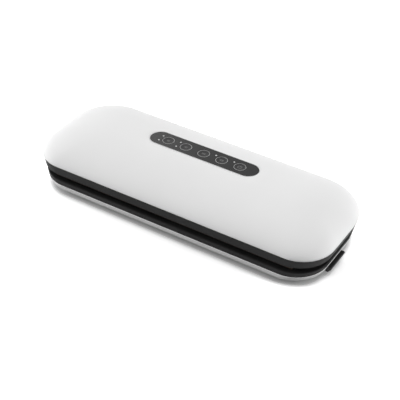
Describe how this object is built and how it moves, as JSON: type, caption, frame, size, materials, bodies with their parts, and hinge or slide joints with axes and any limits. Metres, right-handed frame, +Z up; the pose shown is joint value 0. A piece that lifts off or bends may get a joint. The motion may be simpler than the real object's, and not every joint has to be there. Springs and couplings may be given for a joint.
{
  "type": "vacuum sealer",
  "caption": "Countertop vacuum sealer: a hinged domed lid with a key panel closes over a sealing bar, a vacuum trough and a pump housing, released by a button at each end.",
  "frame": {"origin": "on the table under the middle of the body's box", "axes": "+X along the length to the user's right, +Y from the user to the hinge at the back, +Z up"},
  "size_m": [0.365, 0.136, 0.0643],
  "materials": {
    "cover_white": "satin gloss, injection moulded white shell",
    "frame_grey": "fine matt dark grey moulding",
    "shell_white": "satin gloss white lower shell",
    "overlay_grey": "smooth dark key overlay film",
    "bezel_white": "thin bright bezel round the key panel",
    "key_grey": "dark key with a pale ring",
    "light_lens": "translucent indicator lens",
    "button_black": "matt black release button",
    "hook_dark": "matt dark hook",
    "gasket_foam": "soft closed foam gasket",
    "press_rubber": "silicone pressure strip",
    "foot_rubber": "matt rubber foot",
    "screw_steel": "zinc plated steel",
    "pin_steel": "ground steel pin",
    "spring_steel": "steel spring wire",
    "bar_phenolic": "heat resistant phenolic bar",
    "heat_wire": "flat nickel chrome heating strip",
    "heat_tape": "coated glass cloth tape",
    "contact_brass": "brass contact",
    "tube_silicone": "translucent silicone tube",
    "port_plastic": "grey moulded nozzle",
    "pump_plastic": "grey moulded pump head",
    "motor_steel": "plated motor can",
    "valve_black": "black valve housing",
    "board_green": "green circuit board",
    "coil_yellow": "taped transformer coil",
    "parts_black": "black board components",
    "inlet_black": "black inlet housing"
  },
  "bodies": {
    "base": {"button_spring_left": "spring_steel", "button_spring_right": "spring_steel", "base_shell": "shell_white", "base_frame": "frame_grey", "base_screws": "screw_steel", "base_feet": "foot_rubber", "hinge_pins": "pin_steel", "heater_bar": "bar_phenolic", "heating_strip": "heat_wire", "heater_tape": "heat_tape", "heater_terminals": "contact_brass", "lower_gasket": "gasket_foam", "suction_port": "port_plastic", "suction_tube": "tube_silicone", "pump_head": "pump_plastic", "pump_motor": "motor_steel", "pump_cradle": "foot_rubber", "vent_valve": "valve_black", "vent_tube": "tube_silicone", "power_board": "board_green", "power_transformer": "coil_yellow", "board_parts": "parts_black", "mains_inlet": "inlet_black", "inlet_pins": "contact_brass"},
    "lid": {"lid_cover": "cover_white", "lid_frame": "frame_grey", "lid_screws": "screw_steel", "upper_gasket": "gasket_foam", "pressure_strip": "press_rubber", "latch_hook_left": "hook_dark", "latch_hook_right": "hook_dark", "panel_bezel": "bezel_white", "panel_overlay": "overlay_grey", "indicator_lights": "light_lens", "control_board": "board_green", "key_switches": "parts_black", "board_screws": "screw_steel"},
    "key_1": {"key_1": "key_grey"},
    "key_2": {"key_2": "key_grey"},
    "key_3": {"key_3": "key_grey"},
    "key_4": {"key_4": "key_grey"},
    "key_5": {"key_5": "key_grey"},
    "button_left": {"release_button_left": "button_black"},
    "button_right": {"release_button_right": "button_black"}
  },
  "joints": [
    {"name": "lid_hinge", "type": "hinge", "parent": "base", "child": "lid", "pos_m": [0, 0.064, 0.0255], "axis": [-1, 0, 0], "range_deg": [0, 80]},
    {"name": "key_1_press", "type": "slide", "parent": "lid", "child": "key_1", "axis": [0, -0.0558, -0.9984], "range_m": [0, 0.0005], "stiffness_N_per_m": 1500},
    {"name": "key_2_press", "type": "slide", "parent": "lid", "child": "key_2", "axis": [0, -0.0558, -0.9984], "range_m": [0, 0.0005], "stiffness_N_per_m": 1500},
    {"name": "key_3_press", "type": "slide", "parent": "lid", "child": "key_3", "axis": [0, -0.0558, -0.9984], "range_m": [0, 0.0005], "stiffness_N_per_m": 1500},
    {"name": "key_4_press", "type": "slide", "parent": "lid", "child": "key_4", "axis": [0, -0.0558, -0.9984], "range_m": [0, 0.0005], "stiffness_N_per_m": 1500},
    {"name": "key_5_press", "type": "slide", "parent": "lid", "child": "key_5", "axis": [0, -0.0558, -0.9984], "range_m": [0, 0.0005], "stiffness_N_per_m": 1500},
    {"name": "button_left_press", "type": "slide", "parent": "base", "child": "button_left", "axis": [1, 0, 0], "range_m": [0, 0.003], "stiffness_N_per_m": 800, "deforming": ["button_spring_left"]},
    {"name": "button_right_press", "type": "slide", "parent": "base", "child": "button_right", "axis": [-1, 0, 0], "range_m": [0, 0.003], "stiffness_N_per_m": 800, "deforming": ["button_spring_right"]}
  ]
}
